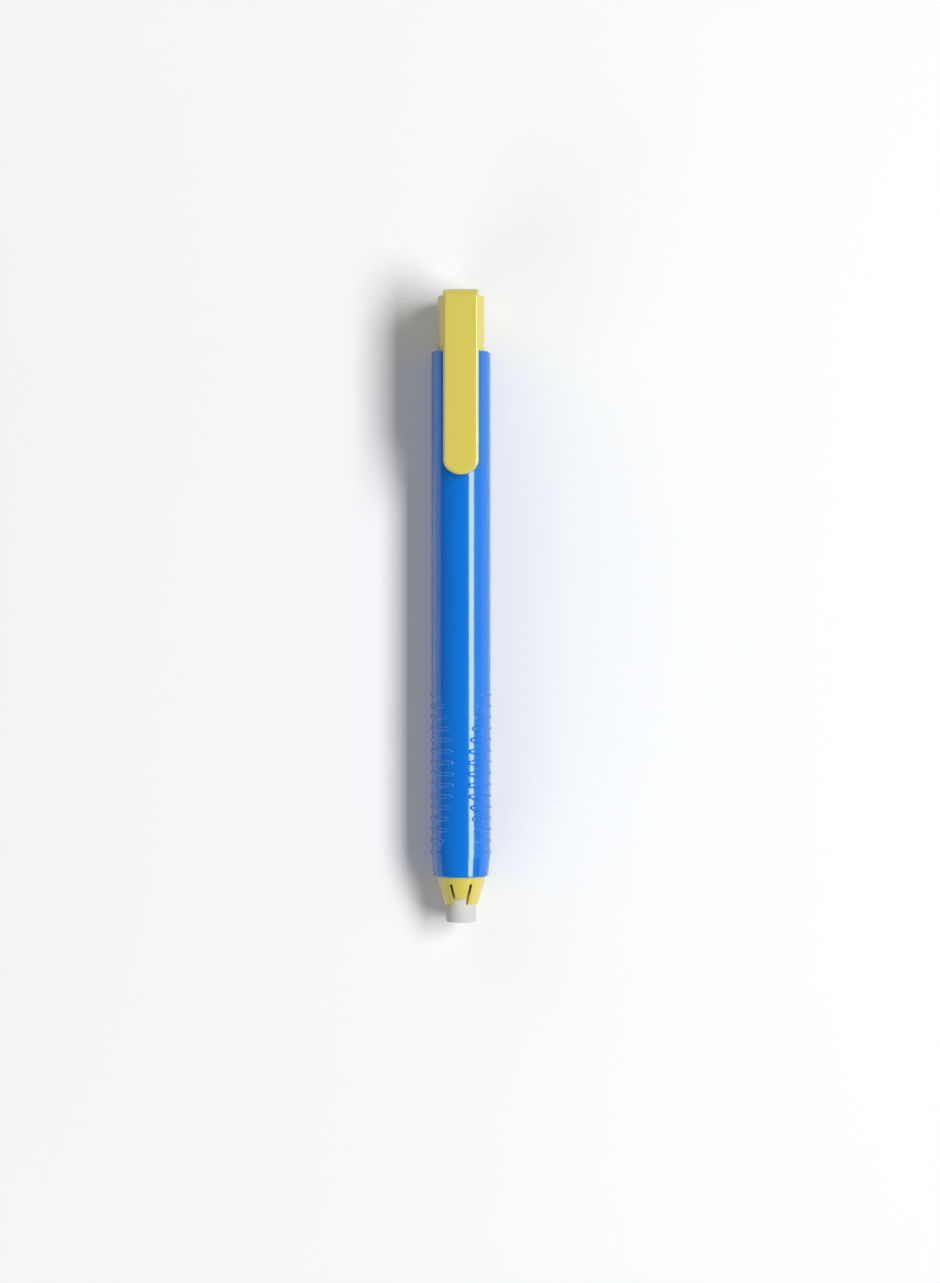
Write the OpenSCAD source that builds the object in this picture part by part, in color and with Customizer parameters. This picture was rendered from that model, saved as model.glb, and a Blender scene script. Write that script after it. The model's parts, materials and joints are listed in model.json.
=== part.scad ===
// Push-action eraser stick: a round eraser refill in a pen-sized holder.
// Pressing the button at the tail feeds the eraser out through the nose, the way a
// mechanical pencil feeds its lead: jaws grip the refill, a ring holds the jaws shut,
// and a coil spring pulls the jaws back into the ring.
//
// Units are millimetres. The stick lies on its back along X, with the eraser towards -X,
// the button towards +X and the pocket clip on top (+Z). The origin is at the middle of
// the stick's length, on the surface that it lies on.
//
// Every piece is drawn around a standing axis first: z is the distance from the eraser's
// working face, and the clip is on the -X side. The module lying() then lays it down.

/* [Barrel] */
// Outer diameter of the barrel
barrel_d = 12; // [11.6:0.1:12.6]
// Length of the barrel
barrel_len = 106.1; // [98:0.1:114]
// Wall of the barrel round the button and the refill tube
barrel_wall = 1.15; // [1:0.05:1.25]
// Diameter of the barrel's front end, after its taper
front_d = 11; // [10.8:0.1:11.4]
// Length of the taper at the barrel's front end
taper_len = 4.3; // [3:0.1:6]
// Chamfer on the rim round the button
rim_chamfer = 0.4; // [0.2:0.05:0.6]
// Rounding of the barrel's front edge
front_edge_r = 0.3; // [0.1:0.05:0.35]
// Thickness of the flange inside the barrel that the spring stands on
flange_t = 1.45; // [1:0.05:2.5]

/* [Grip ribs] */
// Number of ribs on each side of the grip
rib_rows = 15; // [5:2:19]
// Distance from one rib to the next
rib_pitch = 2.27; // [1.8:0.01:2.6]
// Width of a rib at its foot
rib_w = 0.8; // [0.5:0.05:1.2]
// Height of a rib above the barrel
rib_h = 0.18; // [0.08:0.02:0.18]
// Distance from the barrel's front end to the first rib
rib_start = 5; // [4.5:0.1:12]
// Half of the angle that the longest rib goes round
rib_angle = 75.6; // [40:0.1:76]
// Angle of the end ribs, as a share of the longest
rib_end_share = 0.62; // [0.2:0.01:0.9]
// Draft of the grip: how much narrower the barrel is where its front taper starts
grip_draft = 0.1; // [0.04:0.02:0.3]

/* [Nose cone] */
// Length of the cone in front of the barrel
nose_len = 5.56; // [5:0.01:7]
// Diameter of the cone where it meets the barrel
nose_base_d = 10.1; // [9.9:0.1:10.6]
// Wall at the mouth of the cone
nose_lip = 0.35; // [0.25:0.05:0.6]
// Length of the straight bore at the mouth
mouth_len = 1.9; // [1:0.1:2.5]
// Length of the spigot that plugs into the barrel
spigot_len = 4.7; // [4:0.1:6]
// Wall of the spigot
spigot_wall = 0.5; // [0.4:0.05:0.6]
// Height of the snap bead round the spigot
bead_h = 0.15; // [0.05:0.05:0.2]
// Width of the snap bead
bead_w = 0.9; // [0.6:0.1:1.4]
// Width that the spring tongues at the front and the back would have at the mouth
tongue_w = 1.6; // [1.2:0.1:2]
// Width of the tongues at their roots
tongue_root_w = 3.6; // [2:0.1:4]
// Distance by which the tongues stop short of the mouth
tongue_short = 1.2; // [0.5:0.1:1.6]
// Width of the slit on each side of a tongue
slit_w = 0.5; // [0.3:0.05:0.7]
// Length of the slits
slit_len = 4.2; // [3:0.1:4.5]

/* [Eraser] */
// Diameter of the eraser refill
eraser_d = 6; // [5.6:0.1:6.3]
// Length of a new refill
eraser_len = 80; // [60:1:95]
// Length of eraser that stands out of the nose
eraser_out = 3.64; // [2:0.01:6]
// Rounding of the refill's ends
eraser_edge_r = 0.25; // [0.1:0.05:0.6]

/* [Jaws and ring] */
// Number of jaws
jaws = 3; // [2:1:4]
// Width of the slots between the jaws
jaw_slot = 0.6; // [0.4:0.1:1]
// Length of the slots
jaw_slot_len = 15; // [10:0.5:20]
// Wall of the jaw tube
jaw_wall = 0.5; // [0.45:0.05:0.55]
// Height of the jaws' heads above the jaw tube
jaw_head_h = 0.45; // [0.35:0.05:0.5]
// Distance that the heads stand out in front of the ring
jaw_head_out = 1.1; // [0.8:0.1:1.6]
// Number of gripping grooves inside the heads
tooth_count = 4; // [2:1:5]
// Depth of the gripping grooves
tooth_depth = 0.2; // [0.1:0.05:0.3]
// Length of the clutch ring
ring_len = 4; // [3.5:0.1:5]
// Travel of the clutch ring before it stops on the nose spigot
ring_travel = 1.5; // [1:0.1:2]

/* [Return spring] */
// Wire of the return spring
wire_d = 0.45; // [0.35:0.05:0.5]
// Length of the spring as fitted
spring_len = 16; // [13:0.5:20]
// Rise of the spring in each full turn
spring_pitch = 2.6; // [2.4:0.1:3.2]
// Turns that lie flat at each end of the spring
spring_flat = 0.6; // [0.4:0.05:0.65]

/* [Refill tube] */
// Wall of the refill tube's front socket
tube_wall = 0.6; // [0.5:0.05:0.7]
// Depth of the socket that holds the jaw tube
tube_socket = 7; // [5:0.5:10]
// Length of the tube's plug in the button
tube_plug = 6; // [4:0.5:6.5]
// Wall of the plug
plug_wall = 0.6; // [0.5:0.05:0.8]

/* [Button] */
// Height of the button above the barrel's rim
button_out = 11.3; // [10:0.1:13]
// Length of the button inside the barrel
button_skirt = 7.3; // [6:0.1:10]
// Wall round the plug of the refill tube
button_wall = 0.75; // [0.65:0.05:0.9]
// Thickness of the button's top
button_top_t = 1.2; // [0.8:0.1:2]
// Rounding of the button's top edge
button_edge_r = 0.5; // [0.2:0.1:0.9]
// Distance that the button is pressed
knock_travel = 4; // [3:0.1:4.4]

/* [Pocket clip] */
// Width of the clip
clip_w = 7.1; // [6:0.1:8]
// Length of the clip
clip_len = 37.1; // [30:0.1:44]
// Thickness of the clip
clip_t = 3; // [2.4:0.1:3.4]
// Gap between the clip and the barrel
clip_gap = 0.8; // [0.6:0.1:1.4]
// Height of the clip's top above the button
clip_over = 0.6; // [0:0.1:1.2]
// Length of the rounded free end
clip_end_len = 3; // [2:0.1:3.5]
// Rounding of the edges of the clip's face
clip_edge_r = 0.5; // [0.2:0.1:0.7]
// Wall left round the core on the clip's back
clip_rail = 1.1; // [0.8:0.1:1.4]
// Depth of the core on the clip's back
clip_core = 1.6; // [1:0.1:1.8]
// Distance from the button's top down to the bridge
bridge_drop = 1.8; // [1.2:0.1:2.6]
// Width of the bridge between the clip and the button
bridge_w = 4.4; // [3.4:0.1:4.6]
// Fillets between the bridge and the clip
bridge_fillet = 0.7; // [0.3:0.1:0.8]
// Depth of the tenon in the button
tenon_depth = 1.5; // [1:0.1:1.7]
// Width of the tenon
tenon_w = 2.8; // [2:0.1:3]

/* [Fits] */
// Clearance all round between pieces that are plugged together
fit_gap = 0.03; // [0.02:0.01:0.05]
// Clearance round the eraser in the jaws and the nose
eraser_gap = 0.05; // [0.03:0.01:0.08]
// Clearance round the button in the barrel
button_gap = 0.1; // [0.06:0.01:0.14]
// Clearance round the other sliding pieces
slide_gap = 0.15; // [0.1:0.01:0.2]
// Distance left between two pieces at a stop
stop_gap = 0.1; // [0.05:0.01:0.15]
// Clearance of the ring round the jaws' heads
cone_gap = 0.04; // [0.02:0.01:0.06]

/* [Hidden] */

// How finely round things are drawn, and the steps in a quarter of a rounded edge
round_fn = 96;
edge_steps = 6;
// How far a cut runs past the surface that it opens
cut = 1;
// Small chamfers and roundings that ease a hidden edge
ease = 0.25;

// Stations along the axis, from the eraser's working face
mouth_z = eraser_out;
front_z = mouth_z + nose_len;
rim_z = front_z + barrel_len;
spigot_z = front_z + spigot_len;
ring_z = spigot_z + stop_gap + ring_travel;
flange_z = ring_z + ring_len + stop_gap / 2;
seat_z = flange_z + flange_t;
taper_z = front_z + taper_len;
rib_z = front_z + rib_start;
grip_z = rib_z + (rib_rows - 1 / 2) * rib_pitch;
jaw_z = ring_z - jaw_head_out;
tube_z = seat_z + spring_len;
socket_z = tube_z + tube_socket;
skirt_z = rim_z - button_skirt;
button_z = rim_z + button_out;
top_z = button_z + clip_over;
bridge_z = rim_z + knock_travel + 2 * stop_gap;
bridge_top_z = button_z - bridge_drop;
clip_z = top_z - clip_len;

// Radii, from the eraser outwards
barrel_r = barrel_d / 2;
bore_r = barrel_r - barrel_wall;
grip_r = (barrel_d - grip_draft) / 2;
eraser_r = eraser_d / 2;
jaw_bore_r = eraser_r + eraser_gap;
jaw_r = jaw_bore_r + jaw_wall;
head_r = jaw_r + jaw_head_h;
nose_bore_r = head_r + slide_gap;
spigot_r = nose_bore_r + spigot_wall;
front_bore_r = spigot_r + fit_gap;
ring_r = front_bore_r - slide_gap;
flange_r = jaw_r + slide_gap;
tube_r = bore_r - 2 * slide_gap;
tube_socket_r = tube_r - tube_wall;
button_r = bore_r - button_gap;
plug_r = button_r - button_wall - fit_gap;
plug_bore_r = plug_r - plug_wall;
spring_r = (jaw_r + bore_r) / 2;

// Distances of the clip's faces from the axis
clip_back = barrel_r + clip_gap;
clip_face = clip_back + clip_t;

// Lays a standing piece down along X, with the clip on top
module lying() {
    translate([-top_z / 2, 0, barrel_r]) rotate([0, 90, 0]) children();
}

// A round piece, from its outline on one side of the axis as [radius, z] points
module turned(profile) {
    rotate_extrude($fn = round_fn) polygon(profile);
}

// Points of a quarter round of radius r about [cx, cy], from angle a to angle a + 90
function quarter(cx, cy, r, a, n = edge_steps) =
    [for (i = [0:n]) [cx + r * cos(a + 90 * i / n), cy + r * sin(a + 90 * i / n)]];

// Rows from the middle of the grip at which a rib would have no length left
oval_rows = (rib_rows - 1) / 2 / sqrt(1 - rib_end_share * rib_end_share);

// Half of the angle that rib number i goes round: the ribs fill an oval on each side
function rib_half_angle(i) =
    let (row = i - (rib_rows - 1) / 2)
    rib_angle * sqrt(1 - row * row / (oval_rows * oval_rows));

// Radius of the grip at z, between its ends
function grip_r_at(z) = grip_r + (barrel_r - grip_r) * (z - taper_z) / (grip_z - taper_z);

// One raised rib, from -half to +half degrees about the +X side. Its foot is sunk in the wall.
module rib(z, half) {
    r = grip_r_at(z);
    sunk = 0.3;
    crest = rib_w / 4;
    foot = crest + (rib_w / 2 - crest) * (rib_h + sunk) / rib_h;
    translate([0, 0, z]) rotate([0, 0, -half])
        rotate_extrude(angle = 2 * half, $fn = round_fn)
            polygon([
                [r - sunk, -foot],
                [r + rib_h, -crest],
                [r + rib_h, crest],
                [r - sunk, foot]
            ]);
}

module barrel_shell() {
    front_r = front_d / 2;
    turned(concat(
        [[front_bore_r, front_z]],
        quarter(front_r - front_edge_r, front_z + front_edge_r, front_edge_r, -90),
        [
            [grip_r, taper_z],
            [barrel_r, grip_z],
            [barrel_r, rim_z - rim_chamfer],
            [barrel_r - rim_chamfer, rim_z],
            [bore_r, rim_z],
            [bore_r, seat_z],
            [flange_r, seat_z],
            [flange_r, flange_z],
            [front_bore_r, flange_z]
        ]
    ));
}

module barrel() {
    color("dodgerblue") lying() difference() {
        union() {
            barrel_shell();
            for (i = [0:rib_rows - 1])
                for (side = [-90, 90])
                    rotate([0, 0, side])
                        rib(rib_z + i * rib_pitch, rib_half_angle(i));
        }
        bead_ring(bead_h + fit_gap, bead_w + 2 * fit_gap);
    }
}

// The snap bead in the middle of the spigot, also cut into the barrel with its clearance
module bead_ring(h, w) {
    z = front_z + spigot_len / 2;
    r = spigot_r + h;
    turned([
        [nose_bore_r + spigot_wall / 2, z - w / 2],
        [spigot_r, z - w / 2],
        [r, z - w / 6],
        [r, z + w / 6],
        [spigot_r, z + w / 2],
        [nose_bore_r + spigot_wall / 2, z + w / 2]
    ]);
}

// The cone in front of the barrel, the shoulder and the spigot, round the stepped bore
module nose_body() {
    mouth_bore_r = eraser_r + eraser_gap;
    lip_r = nose_lip / 2;
    cone_top_z = jaw_z - knock_travel - 3 * stop_gap;
    turned(concat(
        [[mouth_bore_r, mouth_z]],
        quarter(mouth_bore_r + nose_lip - lip_r, mouth_z + lip_r, lip_r, -90),
        [
            [nose_base_d / 2, front_z],
            [spigot_r, front_z],
            [spigot_r, spigot_z - ease],
            [spigot_r - ease, spigot_z],
            [nose_bore_r, spigot_z],
            [nose_bore_r, cone_top_z],
            [mouth_bore_r, mouth_z + mouth_len]
        ]
    ));
}

// Angle that the slits lean outwards, and the distance from the middle of a tongue to the middle
// of its slits at height z over the mouth
slit_lean = atan((tongue_root_w - tongue_w) / 2 / slit_len);
function slit_y(z) = (tongue_w + slit_w) / 2 + z * tan(slit_lean);

// The cuts that free a spring tongue, seen from its front: two slits with round ends, and the
// notch that shortens the tongue
module tongue_outline() {
    end = slit_len / cos(slit_lean) - slit_w / 2;
    for (side = [-1, 1])
        translate([side * slit_y(0), 0]) rotate(-side * slit_lean) {
            translate([-slit_w / 2, -cut]) square([slit_w, end + cut]);
            translate([0, end]) circle(d = slit_w, $fn = 24);
        }
    polygon([
        [-slit_y(-cut), -cut],
        [slit_y(-cut), -cut],
        [slit_y(tongue_short), tongue_short],
        [-slit_y(tongue_short), tongue_short]
    ]);
}

// The cuts for the tongue on the +X side of the mouth
module tongue_cuts() {
    translate([0, 0, mouth_z]) rotate([90, 0, 90])
        linear_extrude(nose_base_d / 2 + cut) tongue_outline();
}

module nose_cone() {
    color("khaki") lying() difference() {
        union() {
            nose_body();
            bead_ring(bead_h, bead_w);
        }
        for (side = [0, 180]) rotate([0, 0, side]) tongue_cuts();
    }
}

module eraser_stick() {
    color("whitesmoke") lying()
        turned(concat(
            [[0, 0]],
            quarter(eraser_r - eraser_edge_r, eraser_edge_r, eraser_edge_r, -90),
            quarter(eraser_r - eraser_edge_r, eraser_len - eraser_edge_r, eraser_edge_r, 0),
            [[0, eraser_len]]
        ));
}

// Where the jaws' heads stop being straight, and where their cone meets the jaw tube
head_cone_z = ring_z + 0.5;
head_end_z = ring_z + ring_len - 0.5;

// The jaw tube with its heads, and the collar that plugs into the refill tube
module jaw_body() {
    collar_r = tube_socket_r - fit_gap;
    turned([
        [jaw_bore_r + ease, jaw_z],
        [head_r - ease, jaw_z],
        [head_r, jaw_z + ease],
        [head_r, head_cone_z],
        [jaw_r, head_end_z],
        [jaw_r, tube_z],
        [collar_r, tube_z],
        [collar_r, socket_z - ease],
        [collar_r - ease, socket_z],
        [jaw_bore_r, socket_z],
        [jaw_bore_r, jaw_z + ease]
    ]);
}

// Grooves inside the heads, which leave the teeth that grip the eraser
module tooth_grooves() {
    step = (head_end_z - jaw_z) / (tooth_count + 1);
    for (i = [1:tooth_count])
        translate([0, 0, jaw_z + i * step])
            rotate_extrude($fn = round_fn)
                polygon([
                    [jaw_bore_r - tooth_depth, -step / 8],
                    [jaw_bore_r, -step / 4],
                    [jaw_bore_r + tooth_depth, 0],
                    [jaw_bore_r, step / 4],
                    [jaw_bore_r - tooth_depth, step / 8]
                ]);
}

module jaw_chuck() {
    color("ivory") lying() difference() {
        jaw_body();
        tooth_grooves();
        for (i = [0:jaws - 1])
            rotate([0, 0, 360 * i / jaws])
                translate([0, -jaw_slot / 2, jaw_z - cut])
                    cube([head_r + cut, jaw_slot, jaw_slot_len + cut]);
    }
}

module clutch_ring() {
    ring_end_z = ring_z + ring_len;
    color("goldenrod") lying()
        turned([
            [head_r + cone_gap, ring_z],
            [ring_r - ease, ring_z],
            [ring_r, ring_z + ease],
            [ring_r, ring_end_z - ease],
            [ring_r - ease, ring_end_z],
            [jaw_r + cone_gap, ring_end_z],
            [jaw_r + cone_gap, head_end_z],
            [head_r + cone_gap, head_cone_z]
        ]);
}

// The spring's centre line. Its end turns lie flat on the flange and on the refill tube.
spring_rise = spring_len - wire_d - 2 * fit_gap;
spring_turns = spring_rise / spring_pitch + 2 * spring_flat;
rings_per_turn = 12;
wire_sides = 6;

function spring_height(turn) =
    spring_pitch * min(max(turn - spring_flat, 0), spring_turns - 2 * spring_flat);

function spring_point(turn) =
    [
        spring_r * cos(360 * turn),
        spring_r * sin(360 * turn),
        seat_z + fit_gap + wire_d / 2 + spring_height(turn)
    ];

// Points of the wire's outline round its centre line at one turn
function wire_ring(turn) =
    [for (s = [0:wire_sides - 1])
        let (a = 360 * s / wire_sides, out = wire_d / 2 * cos(a))
        spring_point(turn) + [
            out * cos(360 * turn),
            out * sin(360 * turn),
            wire_d / 2 * sin(a)
        ]
    ];

module return_spring() {
    rings = ceil(spring_turns * rings_per_turn);
    points = [for (i = [0:rings]) each wire_ring(spring_turns * i / rings)];
    last = rings * wire_sides;
    sides = [for (i = [0:rings - 1], s = [0:wire_sides - 1])
        let (a = i * wire_sides, t = (s + 1) % wire_sides)
        each [
            [a + s, a + t, a + wire_sides + t],
            [a + s, a + wire_sides + t, a + wire_sides + s]
        ]
    ];
    ends = [for (s = [1:wire_sides - 2]) each [[0, s + 1, s], [last, last + s, last + s + 1]]];
    color("silver") lying() polyhedron(points, concat(sides, ends), convexity = 10);
}

// Least gap between one turn of the wire and the next, measured on points a turn apart
function spring_gap(steps = 96) =
    min([for (i = [0:steps])
        let (turn = (spring_turns - 1) * i / steps)
        norm(spring_point(turn + 1) - spring_point(turn))
    ]) - wire_d;

echo(spring_gap = spring_gap());

// A long tube with a socket for the jaw tube at its front and a plug for the button
module refill_tube() {
    plug_end_z = skirt_z + tube_plug;
    color("gainsboro") lying()
        turned([
            [tube_socket_r, tube_z],
            [tube_r, tube_z],
            [tube_r, skirt_z - stop_gap],
            [plug_r, skirt_z - stop_gap],
            [plug_r, plug_end_z - ease],
            [plug_r - ease, plug_end_z],
            [plug_bore_r, plug_end_z],
            [plug_bore_r, socket_z + fit_gap],
            [tube_socket_r, socket_z + fit_gap]
        ]);
}

// The tenon of the clip's bridge, and with a gap the pocket for it in the button
module tenon(gap) {
    height = (bridge_top_z - bridge_z) * 0.6;
    mid_z = (bridge_top_z + bridge_z) / 2;
    translate([-button_r - cut, -tenon_w / 2 - gap, mid_z - height / 2 - gap])
        cube([tenon_depth + cut + gap, tenon_w + 2 * gap, height + 2 * gap]);
}

// The hollow inside the button, with a thick boss left standing behind the tenon
module button_hollow() {
    step_z = skirt_z + tube_plug + stop_gap;
    step_in = 0.4;
    boss_wall = 0.7;
    translate([0, 0, skirt_z - cut])
        cylinder(r = plug_r + fit_gap, h = step_z - skirt_z + cut, $fn = round_fn);
    difference() {
        translate([0, 0, step_z - cut])
            cylinder(r = plug_r - step_in, h = button_z - button_top_t - step_z + cut, $fn = round_fn);
        translate([-button_r - cut, -button_r, rim_z])
            cube([tenon_depth + boss_wall + cut, 2 * button_r, button_out]);
    }
}

module knock_button() {
    color("khaki") lying() difference() {
        turned(concat(
            [
                [0, skirt_z],
                [button_r - ease, skirt_z],
                [button_r, skirt_z + ease]
            ],
            quarter(button_r - button_edge_r, button_z - button_edge_r, button_edge_r, 0),
            [[0, button_z]]
        ));
        button_hollow();
        tenon(fit_gap);
    }
}

// The clip's front outline, inset by d: square at the top, with an oval free end
module clip_outline(d) {
    half = clip_w / 2 - d;
    round_y = clip_z + clip_end_len;
    translate([-half, round_y]) square([2 * half, top_z - round_y]);
    translate([0, round_y]) scale([half, clip_end_len - d]) circle(r = 1, $fn = 40);
}

// A thin slice of the clip's outline that ends at distance x from the axis
module clip_slice(x, d) {
    slice_t = 0.01;
    translate([slice_t - x, 0, 0]) rotate([90, 0, -90]) linear_extrude(slice_t) clip_outline(d);
}

// The clip's bar: a long plate with a rounded face, free end and top
module clip_bar() {
    intersection() {
        hull() {
            clip_slice(clip_back, 0);
            for (a = [0:30:90])
                clip_slice(clip_face - clip_edge_r * (1 - sin(a)), clip_edge_r * (1 - cos(a)));
        }
        rotate([90, 0, 0]) translate([0, 0, -clip_w])
            linear_extrude(2 * clip_w) clip_side(clip_t * 0.45);
    }
}

// The clip from the side: its top is rounded, and its free end thins a little
module clip_side(top_r) {
    thin = 0.5;
    polygon(concat(
        [
            [-clip_back, clip_z - cut],
            [-clip_back, top_z - top_r]
        ],
        quarter(-clip_back - top_r, top_z - top_r, top_r, 0),
        quarter(-clip_face + top_r, top_z - top_r, top_r, 90),
        [
            [-clip_face, clip_z + clip_len / 3],
            [-clip_face + thin, clip_z - cut]
        ]
    ));
}

// The rounded bump near the free end that grips the pocket's edge
module clip_bump() {
    bump_r = 2.2;
    bump_z = clip_z + clip_end_len + 0.6;
    tip = barrel_r + slide_gap;
    intersection() {
        translate([-tip - bump_r, clip_w / 2 - clip_rail / 2, bump_z]) rotate([90, 0, 0])
            cylinder(r = bump_r, h = clip_w - clip_rail, $fn = round_fn);
        translate([-clip_back - clip_core - cut / 2, -clip_w / 2, clip_z])
            cube([clip_core + cut / 2 + clip_gap, clip_w, clip_len]);
    }
}

// The hollow on the clip's back, which keeps the plastic's walls even
module clip_hollow() {
    z0 = clip_z + 2 * clip_end_len;
    z1 = bridge_z - clip_rail;
    w = clip_w - 2 * clip_rail;
    translate([-clip_back - clip_core, -w / 2, z0]) cube([clip_core + cut, w, z1 - z0]);
}

// The bridge from the side, with a fillet on each side where it meets the clip
module bridge_side() {
    fillet_x = bridge_fillet - clip_back;
    polygon(concat(
        [[0, bridge_top_z], [0, bridge_z]],
        quarter(fillet_x, bridge_z - bridge_fillet, bridge_fillet, 90),
        [
            [-clip_back - cut / 2, bridge_z - bridge_fillet],
            [-clip_back - cut / 2, bridge_top_z + bridge_fillet]
        ],
        quarter(fillet_x, bridge_top_z + bridge_fillet, bridge_fillet, 180)
    ));
}

// The bridge that carries the clip on the button, with its tenon
module clip_bridge() {
    difference() {
        translate([0, bridge_w / 2, 0]) rotate([90, 0, 0]) linear_extrude(bridge_w) bridge_side();
        translate([0, 0, rim_z])
            cylinder(r = button_r + fit_gap, h = button_out + cut, $fn = round_fn);
    }
    tenon(0);
}

module pocket_clip() {
    color("khaki") lying() {
        difference() {
            clip_bar();
            clip_hollow();
        }
        clip_bump();
        clip_bridge();
    }
}

barrel();
nose_cone();
eraser_stick();
jaw_chuck();
clutch_ring();
return_spring();
refill_tube();
knock_button();
pocket_clip();
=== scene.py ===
import json
import math

import bmesh
import bpy
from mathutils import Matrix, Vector


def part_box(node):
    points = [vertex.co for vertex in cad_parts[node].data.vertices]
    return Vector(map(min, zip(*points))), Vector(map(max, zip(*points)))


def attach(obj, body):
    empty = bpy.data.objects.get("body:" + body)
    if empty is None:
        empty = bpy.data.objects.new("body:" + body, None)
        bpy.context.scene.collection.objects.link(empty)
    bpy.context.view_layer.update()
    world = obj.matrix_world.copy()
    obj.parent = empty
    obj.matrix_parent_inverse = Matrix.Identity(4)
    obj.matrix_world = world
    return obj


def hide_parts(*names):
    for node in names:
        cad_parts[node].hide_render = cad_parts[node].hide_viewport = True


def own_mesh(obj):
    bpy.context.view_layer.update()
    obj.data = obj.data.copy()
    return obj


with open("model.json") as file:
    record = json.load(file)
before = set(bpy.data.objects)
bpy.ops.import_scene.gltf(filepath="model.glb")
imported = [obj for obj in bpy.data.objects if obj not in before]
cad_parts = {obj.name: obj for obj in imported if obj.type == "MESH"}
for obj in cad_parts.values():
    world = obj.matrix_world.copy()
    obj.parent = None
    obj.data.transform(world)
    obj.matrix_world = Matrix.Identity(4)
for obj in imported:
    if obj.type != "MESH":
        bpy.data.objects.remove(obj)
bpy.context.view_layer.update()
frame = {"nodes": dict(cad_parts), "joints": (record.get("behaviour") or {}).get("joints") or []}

# A push-action eraser stick, dressed for its render in the frame of its CAD model. Lengths are in
# metres, and MM is one millimetre.
MM = 0.001
# A length shorter than this counts as nothing
TINY = 1e-9
# Points closer than this become one
MERGE_DISTANCE = 1e-7

# Places taken from the frame. The stick lies along X, with the eraser towards -X and the clip
# on top. AXIS_Z is the height of its axis.
barrel_low, barrel_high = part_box("barrel")
nose_low, nose_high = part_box("nose_cone")
eraser_low, eraser_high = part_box("eraser_stick")
button_low, button_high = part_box("knock_button")
clip_low, clip_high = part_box("pocket_clip")
spring_low, spring_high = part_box("return_spring")
ring_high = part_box("clutch_ring")[1]

BARREL_R = (barrel_high.z - barrel_low.z) / 2
AXIS_Z = (barrel_high.z + barrel_low.z) / 2
ERASER_R = (eraser_high.z - eraser_low.z) / 2
BUTTON_R = (button_high.y - button_low.y) / 2
# How far the button goes in
TRAVEL = [j for j in frame["joints"] if j["name"] == "knock_slide"][0]["range_m"][1]


# Outlines, as points of (x, radius)

def arc(cx, cy, r, start, end, steps):
    """Points of an arc about (cx, cy), from start to end in degrees."""
    angles = [math.radians(start + (end - start) * i / steps) for i in range(steps + 1)]
    return [(cx + r * math.cos(a), cy + r * math.sin(a)) for a in angles]


def straight(x0, x1, r, steps):
    """Points at radius r between x0 and x1, without the two ends."""
    return [(x0 + (x1 - x0) * t / steps, r) for t in range(1, steps)]


# Rounding of a hidden corner, and the most that it takes of a line between two corners
CORNER_EASE = 0.08 * MM
CORNER_SHARE = 0.45
CORNER_STEPS = 3


def eased(points):
    """The outline with its corners rounded, so that smooth shading keeps its edges crisp. Points
    on the axis stay."""
    out = []
    count = len(points)
    for i, point in enumerate(points):
        here = Vector(point)
        back = Vector(points[i - 1]) - here
        ahead = Vector(points[(i + 1) % count]) - here
        if here.y < TINY or min(back.length, ahead.length) < TINY:
            out.append(tuple(here))
            continue
        a = here + back.normalized() * min(CORNER_EASE, back.length * CORNER_SHARE)
        b = here + ahead.normalized() * min(CORNER_EASE, ahead.length * CORNER_SHARE)
        for k in range(CORNER_STEPS + 1):
            t = k / CORNER_STEPS
            out.append(tuple(a * (1 - t) ** 2 + here * 2 * t * (1 - t) + b * t * t))
    return out


def smooth_step(t):
    """0 up to 0, 1 from 1, and a smooth rise between them."""
    t = min(max(t, 0), 1)
    return t * t * (3 - 2 * t)


# Meshes and pieces

# Steps of a bevelled edge
BEVEL_STEPS = 3
# Steps of a rounded edge where a piece doesn't say
EDGE_STEPS = 6


def new_object(name, bm, sharp_from=None):
    """A finished object from a bmesh, with its faces pointing out. Its shading is smooth, apart
    from edges of more than sharp_from degrees where that is given."""
    bmesh.ops.remove_doubles(bm, verts=bm.verts, dist=MERGE_DISTANCE)
    bmesh.ops.recalc_face_normals(bm, faces=bm.faces)
    mesh = bpy.data.meshes.new(name)
    bm.to_mesh(mesh)
    bm.free()
    mesh.shade_smooth()
    if sharp_from is not None:
        mesh.set_sharp_from_angle(angle=math.radians(sharp_from))
    obj = bpy.data.objects.new(name, mesh)
    bpy.context.scene.collection.objects.link(obj)
    return obj


def place(obj, body, material, node):
    """Puts a piece on its body in place of a CAD node, with its finish."""
    obj.data.materials.clear()
    obj.data.materials.append(material)
    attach(obj, body)
    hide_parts(node)


def finish_node(name, material):
    """Gives a CAD node that stays its material."""
    node = frame["nodes"][name]
    node.data.materials.clear()
    node.data.materials.append(material)


def round_point(x, r, angle):
    """A point at radius r from the stick's axis. The angle is measured from the clip's side."""
    return (x, r * math.sin(angle), AXIS_Z + r * math.cos(angle))


def join_rings(bm, a, b):
    """Faces between two closed rings with the same number of points."""
    count = len(a)
    for i in range(count):
        j = (i + 1) % count
        bm.faces.new((a[i], a[j], b[j], b[i]))


def join_turned_rings(bm, a, b, columns):
    """Faces between two rings of a round piece. A ring on the axis is a single point."""
    if len(a) == len(b) == 1:
        return
    for c in range(columns):
        d = (c + 1) % columns
        if len(a) == 1:
            bm.faces.new((a[0], b[d], b[c]))
        elif len(b) == 1:
            bm.faces.new((a[c], a[d], b[0]))
        else:
            bm.faces.new((a[c], a[d], b[d], b[c]))


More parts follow.
